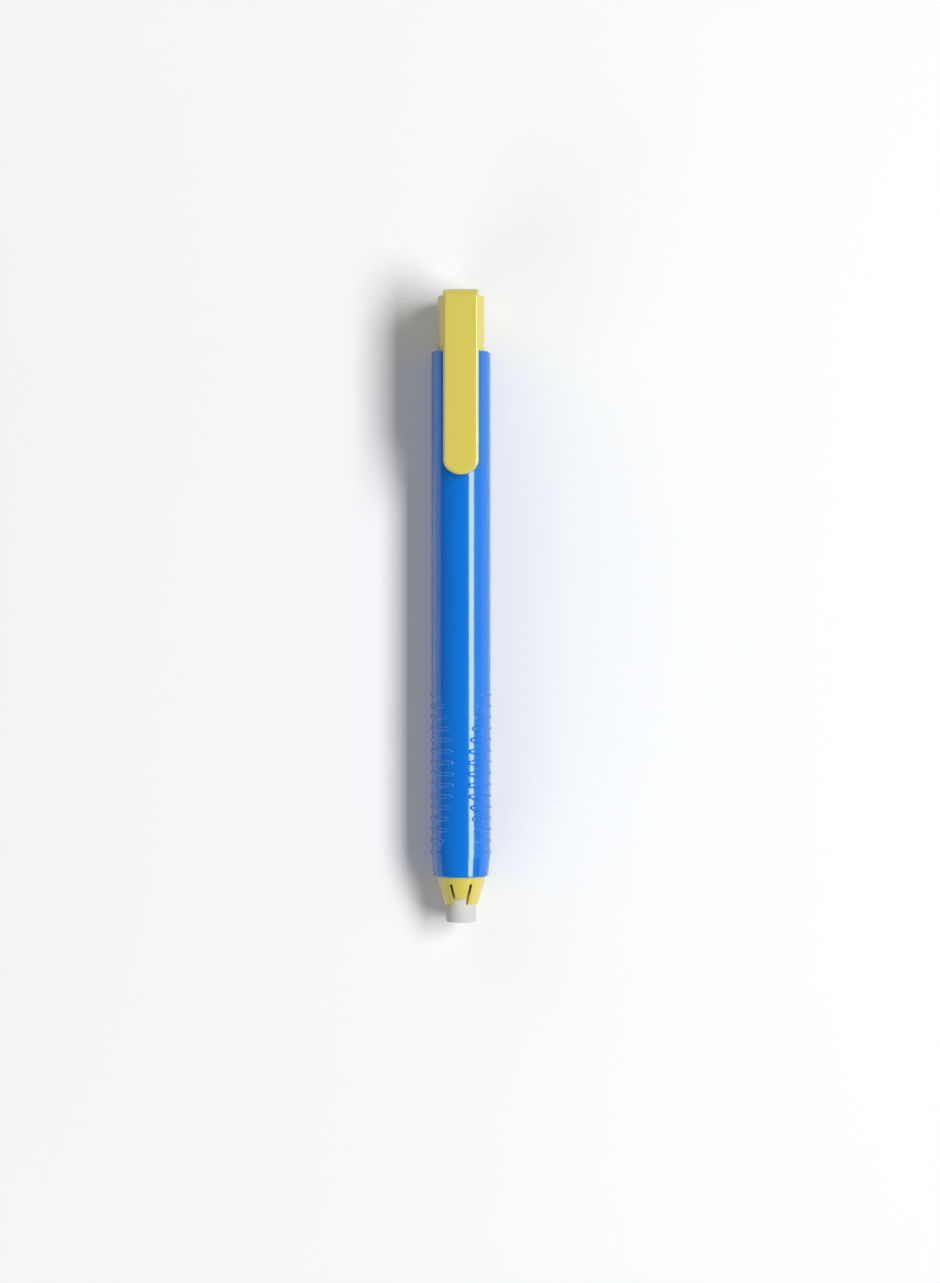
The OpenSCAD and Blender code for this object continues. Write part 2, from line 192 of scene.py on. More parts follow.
def turned(name, outline, columns, relief=None):
    """A round piece from its closed outline. relief(x, r, angle) raises points."""
    bm = bmesh.new()
    rings = []
    for x, r in outline:
        if r < TINY:
            rings.append([bm.verts.new((x, 0, AXIS_Z))])
            continue
        ring = []
        for c in range(columns):
            angle = 2 * math.pi * c / columns
            raised = r + relief(x, r, angle) if relief else r
            ring.append(bm.verts.new(round_point(x, raised, angle)))
        rings.append(ring)
    for a, b in zip(rings, rings[1:] + rings[:1]):
        join_turned_rings(bm, a, b, columns)
    return new_object(name, bm)


# Material nodes

# A noise texture's values mostly lie between these two
NOISE_LOW = 0.2
NOISE_HIGH = 0.8
# Patches of colour per metre where a material doesn't say, and how much finer its wear is
MOTTLE = 120
WEAR_FINER = 6
# Stretches of a texture: the same every way, drawn out along the stick, in rings round it, and
# those of a material's patches and of its wear
EVEN = (1, 1, 1)
ALONG = (0.03, 1, 1)
TURNED = (1, 0.02, 0.02)
PATCHES = (0.4, 1, 1)
WEAR = (0.2, 1, 1)


def link(tree, a, out, b, socket):
    """Joins an output of node a to a socket of node b."""
    tree.links.new(a.outputs[out], b.inputs[socket])


def noise(tree, coords, scale, stretch, detail=4.0, rough=0.55):
    """A noise texture in the object's own coordinates, stretched along the axes."""
    mapping = tree.nodes.new("ShaderNodeMapping")
    mapping.inputs["Scale"].default_value = stretch
    link(tree, coords, "Object", mapping, "Vector")
    tex = tree.nodes.new("ShaderNodeTexNoise")
    tex.inputs["Scale"].default_value = scale
    tex.inputs["Detail"].default_value = detail
    tex.inputs["Roughness"].default_value = rough
    link(tree, mapping, "Vector", tex, "Vector")
    return tex


def ramp(tree, source, dark, light):
    """A colour that runs from dark to light with a noise texture."""
    node = tree.nodes.new("ShaderNodeValToRGB")
    first, second = node.color_ramp.elements
    first.position = NOISE_LOW
    first.color = (*dark, 1)
    second.position = NOISE_HIGH
    second.color = (*light, 1)
    link(tree, source, "Fac", node, "Fac")
    return node


def spread(tree, source, low, high):
    """A number that runs from low to high with a noise texture."""
    node = tree.nodes.new("ShaderNodeMapRange")
    node.inputs["From Min"].default_value = NOISE_LOW
    node.inputs["From Max"].default_value = NOISE_HIGH
    node.inputs["To Min"].default_value = low
    node.inputs["To Max"].default_value = high
    link(tree, source, "Fac", node, "Value")
    return node


def bump(tree, layers):
    """Bump nodes one after another. Each layer is (texture, height in metres, strength)."""
    last = None
    for tex, height, strength in layers:
        node = tree.nodes.new("ShaderNodeBump")
        node.inputs["Distance"].default_value = height
        node.inputs["Strength"].default_value = strength
        link(tree, tex, "Fac", node, "Height")
        if last:
            link(tree, last, "Normal", node, "Normal")
        last = node
    return last


def shaded(name, dark, light, roughness, marks, mottle=MOTTLE, **sockets):
    """A material whose colour runs from dark to light in soft patches. roughness is its lowest
    and highest, and marks is a list of (scale, stretch, height, strength) for its texture. The
    other values go to the shader's sockets of the same names."""
    material = bpy.data.materials.new(name)
    material.use_nodes = True
    tree = material.node_tree
    shader = tree.nodes["Principled BSDF"]
    coords = tree.nodes.new("ShaderNodeTexCoord")
    patches = noise(tree, coords, mottle, PATCHES, detail=3.0)
    link(tree, ramp(tree, patches, dark, light), "Color", shader, "Base Color")
    wear = noise(tree, coords, mottle * WEAR_FINER, WEAR, detail=5.0, rough=0.6)
    link(tree, spread(tree, wear, *roughness), "Result", shader, "Roughness")
    layers = [(noise(tree, coords, scale, stretch), height, strength)
              for scale, stretch, height, strength in marks]
    link(tree, bump(tree, layers), "Normal", shader, "Normal")
    for socket, value in sockets.items():
        shader.inputs[socket.replace("_", " ")].default_value = value
    return material


# Materials

azure_plastic = shaded(
    "azure_plastic",
    dark=(0.0003, 0.176, 0.70),
    light=(0.0005, 0.19, 0.735),
    roughness=(0.14, 0.22),
    marks=[(600, EVEN, 0.03 * MM, 0.12), (9000, ALONG, 0.003 * MM, 0.2)],
    IOR=1.5,
    Specular_IOR_Level=0.25,
    Coat_Weight=0.6,
    Coat_IOR=1.6,
    Coat_Roughness=0.07,
)
pale_plastic = shaded(
    "pale_yellow_plastic",
    dark=(0.735, 0.615, 0.1),
    light=(0.76, 0.64, 0.112),
    roughness=(0.26, 0.34),
    marks=[(600, EVEN, 0.03 * MM, 0.12), (7000, EVEN, 0.003 * MM, 0.3)],
    mottle=60,
    IOR=1.5,
    Subsurface_Weight=0.06,
    Subsurface_Scale=2 * MM,
    Coat_Weight=0.8,
    Coat_IOR=1.6,
    Coat_Roughness=0.07,
)
white_vinyl = shaded(
    "white_vinyl",
    dark=(0.63, 0.61, 0.595),
    light=(0.7, 0.685, 0.67),
    roughness=(0.62, 0.8),
    marks=[(1500, EVEN, 0.06 * MM, 0.35), (9000, EVEN, 0.02 * MM, 0.35)],
    mottle=300,
    IOR=1.48,
    Subsurface_Weight=0.12,
    Subsurface_Scale=1.5 * MM,
)
acetal = shaded(
    "natural_acetal",
    dark=(0.74, 0.72, 0.64),
    light=(0.8, 0.78, 0.71),
    roughness=(0.35, 0.5),
    marks=[(2500, ALONG, 0.02 * MM, 0.3)],
    IOR=1.48,
    Subsurface_Weight=0.1,
    Subsurface_Scale=1 * MM,
)
milky_plastic = shaded(
    "milky_tube_plastic",
    dark=(0.72, 0.74, 0.76),
    light=(0.8, 0.81, 0.82),
    roughness=(0.25, 0.4),
    marks=[(1800, ALONG, 0.02 * MM, 0.25)],
    IOR=1.49,
    Subsurface_Weight=0.2,
    Subsurface_Scale=1 * MM,
)
turned_brass = shaded(
    "turned_brass",
    dark=(0.62, 0.42, 0.14),
    light=(0.74, 0.53, 0.2),
    roughness=(0.2, 0.34),
    marks=[(14000, TURNED, 0.004 * MM, 0.5)],
    Metallic=1.0,
)
drawn_wire = shaded(
    "drawn_spring_wire",
    dark=(0.5, 0.5, 0.51),
    light=(0.62, 0.62, 0.63),
    roughness=(0.18, 0.32),
    marks=[(9000, EVEN, 0.003 * MM, 0.4)],
    mottle=900,
    Metallic=1.0,
)


# Barrel. Its sizes are those of the CAD model, with rounded edges.

BORE_R = 4.85 * MM
FRONT_BORE_R = 4.68 * MM
FLANGE_BORE_R = 3.7 * MM
FRONT_R = 5.5 * MM
GRIP_R = 5.95 * MM
TAPER_LEN = 4.3 * MM
FLANGE_T = 1.45 * MM
RING_GAP = 0.05 * MM
FRONT_EDGE_R = 0.3 * MM
FRONT_EDGE_STEPS = 5
RIM_EDGE_R = 0.48 * MM
BORE_EASE = 0.1 * MM
HIDDEN_EASE = 0.05 * MM
BARREL_COLUMNS = 360
PLAIN_ROWS = 24

# The snap bead round the nose's spigot, and its groove in the barrel
BEAD_H = 0.15 * MM
BEAD_W = 0.9 * MM

# Points of the soft corner between the taper and the grip, as (x, radius) from the corner
TAPER_CORNER = ((-0.9 * MM, -0.105 * MM), (-0.4 * MM, -0.035 * MM), (0.1 * MM, 0))

# Grip ribs. RIB_REACH and RIB_FLANK are shares of half a rib's width: how far its foot reaches,
# and how wide its flank is. RIB_STEPS are the rows of points across a rib.
RIB_ROWS = 15
RIB_PITCH = 2.27 * MM
RIB_START = 5 * MM
RIB_W = 0.8 * MM
RIB_H = 0.18 * MM
RIB_ANGLE = math.radians(75.6)
RIB_END_SHARE = 0.62
RIB_REACH = 1.12
RIB_FLANK = 0.6
RIB_STEPS = (-RIB_REACH, -0.95, -0.8, -0.65, -0.5, 0, 0.5, 0.65, 0.8, 0.95, RIB_REACH)


def rib_x(i):
    """Where the middle of rib i is along the stick."""
    return barrel_low.x + RIB_START + i * RIB_PITCH


# Rows from the middle of the grip at which a rib would have no length left
OVAL_ROWS = (RIB_ROWS - 1) / 2 / math.sqrt(1 - RIB_END_SHARE ** 2)
GRIP_END_X = rib_x(RIB_ROWS - 0.5)
TAPER_X = barrel_low.x + TAPER_LEN


def rib_half_angle(i):
    """Half of the angle that rib i goes round: the ribs fill an oval on each side."""
    row = i - (RIB_ROWS - 1) / 2
    return RIB_ANGLE * math.sqrt(1 - (row / OVAL_ROWS) ** 2)


def rib_relief(x, r, angle):
    """Height of the grip's ribs over the barrel at x and at an angle from the clip's side. The
    ribs' ends are round, and the bore has none."""
    i = round((x - rib_x(0)) / RIB_PITCH)
    if r < FRONT_R or not 0 <= i < RIB_ROWS:
        return 0
    half = RIB_W / 2
    from_middle = abs(x - rib_x(i)) / half
    from_side = abs(abs(math.pi - angle) - math.pi / 2)
    left = (rib_half_angle(i) - from_side) * BARREL_R
    beyond = max(half - left, 0) / half
    return RIB_H * smooth_step((RIB_REACH - math.hypot(from_middle, beyond)) / RIB_FLANK)


def barrel_outside():
    """The barrel's outline from its front edge, over the taper and the grip, to its rim."""
    front, rim = barrel_low.x, barrel_high.x
    edge = FRONT_EDGE_R
    outline = arc(front + edge, FRONT_R - edge, edge, 180, 90, FRONT_EDGE_STEPS)
    outline += [(TAPER_X + dx, GRIP_R + dr) for dx, dr in TAPER_CORNER]
    for i in range(RIB_ROWS):
        for step in RIB_STEPS:
            x = rib_x(i) + step * RIB_W / 2
            grown = (x - TAPER_X) / (GRIP_END_X - TAPER_X)
            outline.append((x, GRIP_R + (BARREL_R - GRIP_R) * grown))
    outline.append((GRIP_END_X, BARREL_R))
    outline += straight(GRIP_END_X, rim, BARREL_R, PLAIN_ROWS)
    edge = RIM_EDGE_R
    return outline + arc(rim - edge, BARREL_R - edge, edge, 90, 0, EDGE_STEPS)


def barrel_inside():
    """The barrel's outline from its rim through the bore, over the flange that the spring stands
    on and the groove for the nose's bead, to its front edge."""
    front, rim = barrel_low.x, barrel_high.x
    flange_x = ring_high.x + RING_GAP
    seat_x = flange_x + FLANGE_T
    groove = (front + nose_high.x) / 2
    return [
        (rim, BORE_R + BORE_EASE),
        (rim - BORE_EASE, BORE_R),
        (seat_x + HIDDEN_EASE, BORE_R),
        (seat_x, BORE_R - HIDDEN_EASE),
        (seat_x, FLANGE_BORE_R + HIDDEN_EASE),
        (seat_x - HIDDEN_EASE, FLANGE_BORE_R),
        (flange_x + HIDDEN_EASE, FLANGE_BORE_R),
        (flange_x, FLANGE_BORE_R + HIDDEN_EASE),
        (flange_x, FRONT_BORE_R - HIDDEN_EASE),
        (flange_x - HIDDEN_EASE, FRONT_BORE_R),
        (groove + BEAD_W / 2, FRONT_BORE_R),
        (groove + BEAD_W / 6, FRONT_BORE_R + BEAD_H),
        (groove - BEAD_W / 6, FRONT_BORE_R + BEAD_H),
        (groove - BEAD_W / 2, FRONT_BORE_R),
        (front + HIDDEN_EASE, FRONT_BORE_R),
        (front, FRONT_BORE_R + HIDDEN_EASE),
    ]


def build_barrel():
    """The barrel with its grip ribs."""
    outline = barrel_outside() + barrel_inside()
    barrel = turned("barrel_moulding", outline, BARREL_COLUMNS, rib_relief)
    place(barrel, "housing", azure_plastic, "barrel")


# Nose cone. Its sizes are those of the CAD model, and places along it are distances from its
# mouth.

NOSE_BASE_R = 5.05 * MM
NOSE_MOUTH_R = 3.4 * MM
NOSE_BORE_R = 3.05 * MM
NOSE_SPIGOT_R = 4.65 * MM
NOSE_SPIGOT_BORE_R = 4.15 * MM
MOUTH_LEN = 1.9 * MM
CONE_BORE_END = 6.46 * MM
NOSE_TAIL_EASE = 0.25 * MM
NOSE_SLOPE = (NOSE_BASE_R - NOSE_MOUTH_R) / (barrel_low.x - nose_low.x)
NOSE_EDGE_R = 0.06 * MM
NOSE_SHARP_FROM = 30
# Edges of more than this many degrees are rounded
ROUND_FROM = 32

# The two spring tongues, and the slit on each side of them
TONGUE_W = 1.6 * MM
TONGUE_ROOT_W = 3.6 * MM
TONGUE_SHORT = 1.2 * MM
SLIT_W = 0.5 * MM
SLIT_LEN = 4.2 * MM
SLIT_LEAN = math.atan((TONGUE_ROOT_W - TONGUE_W) / 2 / SLIT_LEN)

# Columns of faces in half a tongue and in a quarter's wall, and rows of points: in front of a
# tongue, along the slits, round their ends, and along the rest of the cone
TONGUE_COLUMNS = 6
WALL_COLUMNS = 22
GAP_ROWS = 3
SLIT_ROWS = (1.55 * MM, MOUTH_LEN, 2.4 * MM, 2.9 * MM, 3.4 * MM)
SLIT_END_ANGLES = (0, 25, 45, 60)
CONE_ROWS = (4.6 * MM, 5 * MM)


def nose_outer_r(s):
    """Radius of the cone's outside at s."""
    return NOSE_MOUTH_R + NOSE_SLOPE * s


def nose_inner_r(s):
    """Radius of the nose's bore at s: straight at the mouth, then a cone up to the spigot's."""
    t = (s - MOUTH_LEN) / (CONE_BORE_END - MOUTH_LEN)
    return NOSE_BORE_R + (NOSE_SPIGOT_BORE_R - NOSE_BORE_R) * min(max(t, 0), 1)


def slit_edges(s):
    """Distances of a slit's two edges from the middle of its tongue, at s. The slit's end is
    round."""
    half = SLIT_W / 2
    turn = SLIT_LEN - half * math.cos(SLIT_LEAN)
    middle = TONGUE_W / 2 + half + min(s, turn) * math.tan(SLIT_LEAN)
    if turn < s <= SLIT_LEN:
        half = math.sqrt(half ** 2 - (s - turn) ** 2)
    return middle - half, middle + half


def nose_angles(s, r):
    """Angles of the columns all round, with lines along the edges of the tongues and slits."""
    inner, outer = (math.asin(y / r) for y in slit_edges(s))
    knots = [(0, inner, TONGUE_COLUMNS), (inner, outer, 1), (outer, math.pi / 2, WALL_COLUMNS)]
    quarter = [a + (b - a) * i / n for a, b, n in knots for i in range(n)]
    half = quarter + [math.pi / 2] + [math.pi - a for a in reversed(quarter[1:])]
    return half + [math.pi] + [2 * math.pi - a for a in reversed(half[1:])]


def nose_ring(bm, s, r):
    """A ring of points round the nose at s."""
    return [bm.verts.new(round_point(nose_low.x + s, r, a)) for a in nose_angles(s, r)]


def nose_column_kind(c, count):
    """tongue, slit or wall for the strip between column c and the next."""
    half = count // 2
    c = c % half
    c = min(c, half - 1 - c)
    if c < TONGUE_COLUMNS:
        return "tongue"
    return "slit" if c == TONGUE_COLUMNS else "wall"


def slit_stations():
    """Distances of the rows of points along the slits, closer together at the slits' ends."""
    half = SLIT_W / 2
    rows = [TONGUE_SHORT * i / GAP_ROWS for i in range(GAP_ROWS + 1)]
    ends = [SLIT_LEN - half + half * math.sin(math.radians(a)) for a in SLIT_END_ANGLES]
    return rows + list(SLIT_ROWS) + ends


def build_nose_front(bm):
    """The nose from its mouth to the slits' ends, with its tongues. Returns its last two rings,
    the outer and the inner one."""
    stations = slit_stations()
    outer = [nose_ring(bm, s, nose_outer_r(s)) for s in stations]
    inner = [nose_ring(bm, s, nose_inner_r(s)) for s in stations]
    count = len(outer[0])
    last = len(stations) - 1

    def present(k, c):
        """Whether the strip at column c has any plastic between rows k and k + 1."""
        kind = nose_column_kind(c, count)
        if k < 0 or kind == "slit":
            return False
        return kind == "wall" or stations[k] > TONGUE_SHORT - MERGE_DISTANCE

    def wall(k, c, to_k, to_c):
        """A face through the wall, from row k and column c to row to_k and column to_c."""
        bm.faces.new((outer[k][c], outer[to_k][to_c], inner[to_k][to_c], inner[k][c]))

    for c in range(count):
        d = (c + 1) % count
        for k in range(last):
            if not present(k, c):
                continue
            bm.faces.new((outer[k][c], outer[k + 1][c], outer[k + 1][d], outer[k][d]))
            bm.faces.new((inner[k][c], inner[k][d], inner[k + 1][d], inner[k + 1][c]))
            if not present(k - 1, c):
                wall(k, c, k, d)
            if not present(k, c - 1):
                wall(k, c, k + 1, c)
            if not present(k, d):
                wall(k, d, k + 1, d)
        if nose_column_kind(c, count) == "slit":
            wall(last, c, last, d)
    return outer[last], inner[last]


def nose_back_outline():
    """The nose's outline behind the slits, as (distance, radius): the rest of the cone, the
    spigot with its snap bead, and the way back through the bore."""
    shoulder = barrel_low.x - nose_low.x
    tail = nose_high.x - nose_low.x
    bead = (shoulder + tail) / 2
    return [(s, nose_outer_r(s)) for s in (*CONE_ROWS, shoulder)] + [
        (shoulder, NOSE_SPIGOT_R),
        (bead - BEAD_W / 2, NOSE_SPIGOT_R),
        (bead - BEAD_W / 6, NOSE_SPIGOT_R + BEAD_H),
        (bead + BEAD_W / 6, NOSE_SPIGOT_R + BEAD_H),
        (bead + BEAD_W / 2, NOSE_SPIGOT_R),
        (tail - NOSE_TAIL_EASE, NOSE_SPIGOT_R),
        (tail, NOSE_SPIGOT_R - NOSE_TAIL_EASE),
        (tail, NOSE_SPIGOT_BORE_R),
        (CONE_BORE_END, NOSE_SPIGOT_BORE_R),
    ] + [(s, nose_inner_r(s)) for s in reversed(CONE_ROWS)]


def soften(obj, width):
    """Rounds an object's sharp edges, so that they catch the light."""
    bevel = obj.modifiers.new("edges", "BEVEL")
    bevel.width = width
    bevel.segments = BEVEL_STEPS
    bevel.limit_method = "ANGLE"
    bevel.angle_limit = math.radians(ROUND_FROM)
    bevel.use_clamp_overlap = False
    bevel.harden_normals = True


def build_nose():
    """The nose cone with its spring tongues and its spigot."""
    bm = bmesh.new()
    outer, inner = build_nose_front(bm)
    back = [nose_ring(bm, s, r) for s, r in nose_back_outline()]
    rings = [outer] + back + [inner]
    for a, b in zip(rings, rings[1:]):
        join_rings(bm, a, b)
    nose = new_object("nose_moulding", bm, NOSE_SHARP_FROM)
    soften(nose, NOSE_EDGE_R)
    place(nose, "housing", pale_plastic, "nose_cone")


# Eraser

ERASER_EDGE_R = 0.28 * MM
ERASER_ROWS = 40
ERASER_COLUMNS = 128


def build_eraser():
    """The refill: a plain round stick with rounded edges."""
    x0, x1 = eraser_low.x, eraser_high.x
    edge = ERASER_EDGE_R
    outline = [(x0, 0), (x0, ERASER_R / 2)]
    outline += arc(x0 + edge, ERASER_R - edge, edge, 180, 90, EDGE_STEPS)
    outline += straight(x0, x1, ERASER_R, ERASER_ROWS)
    outline += arc(x1 - edge, ERASER_R - edge, edge, 90, 0, EDGE_STEPS)
    outline += [(x1, ERASER_R / 2), (x1, 0)]
    eraser = turned("eraser_refill", outline, ERASER_COLUMNS)
    place(eraser, "refill", white_vinyl, "eraser_stick")


# Button

SOCKET_R = 4.0 * MM
SOCKET_DEPTH = 6.1 * MM
BUTTON_TOP_T = 1.2 * MM
HOLLOW_R = 3.57 * MM
BUTTON_EDGE_R = 0.55 * MM
BUTTON_EDGE_STEPS = 8
SKIRT_EDGE_R = 0.25 * MM
SKIRT_EDGE_STEPS = 4
BUTTON_ROWS = 12
BUTTON_COLUMNS = 160
# Radii of the rings on the button's top, as shares of the button's own
TOP_RINGS = (0.55, 0.8)


def build_button():
    """The button: a round cap with a socket for the refill tube's plug."""
    x0, x1 = button_low.x, button_high.x
    edge, skirt = BUTTON_EDGE_R, SKIRT_EDGE_R
    outline = [(x1, 0)] + [(x1, BUTTON_R * share) for share in TOP_RINGS]
    outline += arc(x1 - edge, BUTTON_R - edge, edge, 0, 90, BUTTON_EDGE_STEPS)
    outline += straight(x1, x0, BUTTON_R, BUTTON_ROWS)
    outline += arc(x0 + skirt, BUTTON_R - skirt, skirt, 90, 180, SKIRT_EDGE_STEPS)
    inside = eased([
        (x0, SOCKET_R),
        (x0 + SOCKET_DEPTH, SOCKET_R),
        (x0 + SOCKET_DEPTH, HOLLOW_R),
        (x1 - BUTTON_TOP_T, HOLLOW_R),
        (x1 - BUTTON_TOP_T, 0),
    ])
    # This outline is open at the socket's mouth, so its first two points lean to its far end
    # and are left out
    outline += inside[2:]
    button = turned("button_moulding", outline, BUTTON_COLUMNS)
    place(button, "knock", pale_plastic, "knock_button")


# Clip

CLIP_W = clip_high.y - clip_low.y
CLIP_FACE = clip_high.z
CLIP_T = 3 * MM
CLIP_BACK = CLIP_FACE - CLIP_T
CLIP_END_LEN = 3 * MM
CLIP_END_STEPS = 20
CLIP_SIDE_ROWS = 36
# Rounding of the clip's top end, seen from the side and seen from above
CLIP_TOP_R = 1.35 * MM
CLIP_CORNER_R = 0.5 * MM
CLIP_CORNER_INSET = 0.4 * MM
# How much thinner the clip is at its free end, and the length over which that is made up
CLIP_THIN = 0.5 * MM
CLIP_THIN_LEN = (clip_high.x - clip_low.x) / 3
# Faces across the clip
ACROSS = 6

# Rows from the clip's back up to its edge, as (inset, share of the thickness), and then the
# rounded edge of its face
CLIP_BACK_EASE = 0.12 * MM
CLIP_BACK_ROWS = ((CLIP_BACK_EASE, 0), (CLIP_BACK_EASE / 4, 0.012), (0, 0.045), (0, 0.4))
CLIP_EDGE_R = 0.6 * MM
CLIP_EDGE_STEPS = 7
# Edges of more than this many degrees stay sharp where the clip's bodies are joined
CLIP_SHARP_FROM = 40

# The hollow on the clip's back, and the wall round it
CLIP_RAIL = 1.1 * MM
CLIP_CORE = 1.6 * MM
HOLLOW_EDGE_R = 0.3 * MM

# The bridge between the clip and the button, and how far it is sunk into both. It stays clear of
# the barrel's rim when the button is in.
BRIDGE_W = 4.4 * MM
BRIDGE_CLEAR = 0.2 * MM
BRIDGE_DROP = 1.8 * MM
BRIDGE_X = (barrel_high.x + TRAVEL + BRIDGE_CLEAR, button_high.x - BRIDGE_DROP)
BRIDGE_FILLET = 0.7 * MM
FILLET_STEPS = 8
BRIDGE_EDGE_R = 0.25 * MM
BRIDGE_EDGE_ANGLES = (90, 60, 30, 0)
BRIDGE_SUNK_LOW = 0.25 * MM
BRIDGE_SUNK_HIGH = 0.4 * MM
FILLET_SUNK = 0.02 * MM

# The bump under the clip's free end, with a gap between its tip and the barrel. Its two sides
# are smaller than its middle, over the width BUMP_SIDE.
BUMP_R = 2.2 * MM
BUMP_GAP = 0.15 * MM
BUMP_FROM_END = 0.6 * MM
BUMP_RAIL = 0.75 * MM
BUMP_SUNK = 0.3 * MM
BUMP_SIDE = 0.2 * MM
BUMP_SIDE_SHARE = 0.85
BUMP_STEPS = 14


def clip_side_points(inset):
    """One side of the clip's outline seen from above, as (x, y) from the free end to the top."""
    half = CLIP_W / 2
    start = clip_low.x + CLIP_END_LEN
    end = clip_high.x - CLIP_CORNER_R
    corner = CLIP_CORNER_R - min(inset, CLIP_CORNER_INSET)
    points = [
        (start + (CLIP_END_LEN - inset) * x, (half - inset) * y)
        for x, y in arc(0, 0, 1, 180, 90, CLIP_END_STEPS)
    ]
    points += straight(start, end, half - inset, CLIP_SIDE_ROWS)
    return points + arc(end, half - CLIP_CORNER_R, corner, 90, 0, EDGE_STEPS)


def clip_heights(x):
    """Heights of the clip's back and of its face at x."""
    from_top = min(max(clip_high.x - x, 0), CLIP_TOP_R)
    round_off = CLIP_TOP_R - math.sqrt(CLIP_TOP_R ** 2 - (CLIP_TOP_R - from_top) ** 2)
    thin = min(max(1 - (x - clip_low.x) / CLIP_THIN_LEN, 0), 1)
    return CLIP_BACK + round_off, CLIP_FACE - round_off - CLIP_THIN * thin


def clip_ring(bm, inset, share):
    """A closed ring of the clip's outline, from the middle of its free end along one side, across
    the top end and back. share is 0 at the clip's back and 1 at its face."""
    side = clip_side_points(inset)
    end_x, end_y = side[-1]
    top_end = [(end_x, end_y * (1 - 2 * k / ACROSS)) for k in range(1, ACROSS)]
    ring = []
    for x, y in side + top_end + [(x, -y) for x, y in reversed(side[1:])]:
        back, face = clip_heights(x)
        ring.append(bm.verts.new((x, y, back + (face - back) * share)))
    return ring


def cap_ring(bm, ring):
    """Closes a ring of the clip's outline with rows of faces from one side to the other."""
    last = (len(ring) - ACROSS + 1) // 2
    rows = []
    for i in range(1, last):
        a, b = ring[i], ring[-i]
        inner = [bm.verts.new(a.co.lerp(b.co, k / ACROSS)) for k in range(1, ACROSS)]
        rows.append([a] + inner + [b])
    rows.append(ring[last:last + ACROSS + 1])
    for k in range(ACROSS):
        bm.faces.new((ring[0], rows[0][k], rows[0][k + 1]))
    for r, s in zip(rows, rows[1:]):
        for k in range(ACROSS):
            bm.faces.new((r[k], r[k + 1], s[k + 1], s[k]))


def loft(name, loops):
    """A closed body through loops of points, with a face on the first and the last."""
    bm = bmesh.new()
    rings = [[bm.verts.new(point) for point in loop] for loop in loops]
    for a, b in zip(rings, rings[1:]):
        join_rings(bm, a, b)
    bm.faces.new(rings[0])
    bm.faces.new(rings[-1])
    return new_object(name, bm)


def build_hollow():
    """The space inside the hollow on the clip's back, with its edges rounded."""
    low = Vector((clip_low.x + 2 * CLIP_END_LEN, CLIP_RAIL - CLIP_W / 2, CLIP_BACK - CLIP_CORE))
    high = Vector((BRIDGE_X[0] - CLIP_RAIL, CLIP_W / 2 - CLIP_RAIL, CLIP_BACK + CLIP_CORE))
    bm = bmesh.new()
    bmesh.ops.create_cube(bm, size=1)
    bmesh.ops.scale(bm, vec=high - low, verts=bm.verts)
    bmesh.ops.translate(bm, vec=(low + high) / 2, verts=bm.verts)
    bmesh.ops.bevel(bm, geom=bm.edges[:], offset=HOLLOW_EDGE_R, segments=BEVEL_STEPS,
                    profile=0.5, affect="EDGES")
    return new_object("hollow", bm)


def bridge_section(inset):
    """The bridge from the side, made smaller by inset, with fillets where it meets the clip."""
    x0, x1 = BRIDGE_X
    f = BRIDGE_FILLET
    fillet_z = CLIP_BACK - f + FILLET_SUNK
    low = AXIS_Z + math.sqrt(BUTTON_R ** 2 - (BRIDGE_W / 2) ** 2) - BRIDGE_SUNK_LOW
    high = CLIP_BACK + BRIDGE_SUNK_HIGH
    front = arc(x0 - f, fillet_z, f + inset, 0, 90, FILLET_STEPS)
    back = arc(x1 + f, fillet_z, f + inset, 90, 180, FILLET_STEPS)
    top = [(x0 - f, high), (x1 + f, high)]
    return [(x0 + inset, low)] + front + top + back + [(x1 - inset, low)]


def build_bridge():
    """The block that carries the clip on the button, with rounded sides."""
    edge = BRIDGE_EDGE_R
    half = BRIDGE_W / 2
    steps = [math.radians(a) for a in BRIDGE_EDGE_ANGLES]
    side = [(half - edge * (1 - math.sin(a)), edge * (1 - math.cos(a))) for a in steps]
    other_side = [(-y, inset) for y, inset in reversed(side)]
    return loft("bridge", [
        [(x, y, z) for x, z in bridge_section(inset)]
        for y, inset in side + other_side
    ])


def build_bump():
    """The rounded bump near the clip's free end."""
    tip = AXIS_Z + BARREL_R + BUMP_GAP
    centre_x = clip_low.x + CLIP_END_LEN + BUMP_FROM_END
    half = CLIP_W / 2 - BUMP_RAIL
    top = CLIP_BACK + BUMP_SUNK
    reach = math.degrees(math.acos((BUMP_R + tip - top) / BUMP_R))
    section = arc(centre_x, tip + BUMP_R, BUMP_R, 270 - reach, 270 + reach, BUMP_STEPS)
    loops = []
    for y in (-half, -half + BUMP_SIDE, 0, half - BUMP_SIDE, half):
        share = BUMP_SIDE_SHARE if abs(y) == half else 1
        loops.append([
            (centre_x + (x - centre_x) * share, y, top + (z - top) * share)
            for x, z in section
        ])
    return loft("bump", loops)


def merge(first, added, cut_away):
    """Cuts closed pieces out of the first one and unites others with it, as one closed skin."""
    steps = [(piece, "DIFFERENCE") for piece in cut_away] + [(piece, "UNION") for piece in added]
    for piece, operation in steps:
        modifier = first.modifiers.new("join", "BOOLEAN")
        modifier.operation = operation
        modifier.solver = "EXACT"
        modifier.object = piece
    graph = bpy.context.evaluated_depsgraph_get()
    first.data = bpy.data.meshes.new_from_object(first.evaluated_get(graph))
    first.modifiers.clear()
    first.data.shade_smooth()
    first.data.set_sharp_from_angle(angle=math.radians(CLIP_SHARP_FROM))
    for piece, _ in steps:
        bpy.data.objects.remove(piece)


